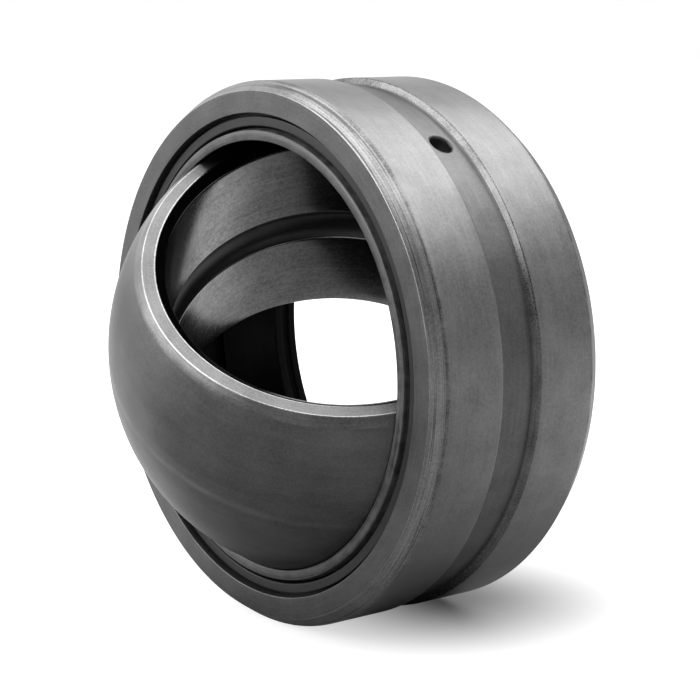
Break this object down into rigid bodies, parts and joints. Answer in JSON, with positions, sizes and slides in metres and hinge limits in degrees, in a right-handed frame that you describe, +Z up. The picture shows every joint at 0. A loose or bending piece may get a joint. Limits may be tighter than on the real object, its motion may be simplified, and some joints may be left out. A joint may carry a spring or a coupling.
{
  "type": "spherical plain bearing",
  "caption": "Sealed radial spherical plain bearing: a steel inner ring with a ball-shaped outside swivels in a hollow spherical seat in a grooved outer ring, with a lip seal on each side.",
  "frame": {"origin": "centre of the ball, on the axis of the outer ring and midway between its side faces", "axes": "+Y along the outer ring's axis from its front face to its rear face, +Z up, +X to the right seen from the front"},
  "size_m": [0.047, 0.0406, 0.047],
  "materials": {
    "outer_ring_steel": "turned and phosphated bearing steel, dark grey",
    "inner_ring_steel": "ground and phosphated bearing steel, grey with brighter end faces",
    "seal_rubber": "moulded black elastomer, satin"
  },
  "bodies": {
    "outer": {"outer_ring": "outer_ring_steel", "front_seal": "seal_rubber", "rear_seal": "seal_rubber"},
    "inner": {"inner_ring": "inner_ring_steel"}
  },
  "joints": [
    {"name": "inner_ring_swivel", "type": "hinge", "parent": "outer", "child": "inner", "pos_m": [0, 0, 0], "axis": [0.831, 0, -0.5563], "continuous": true}
  ]
}
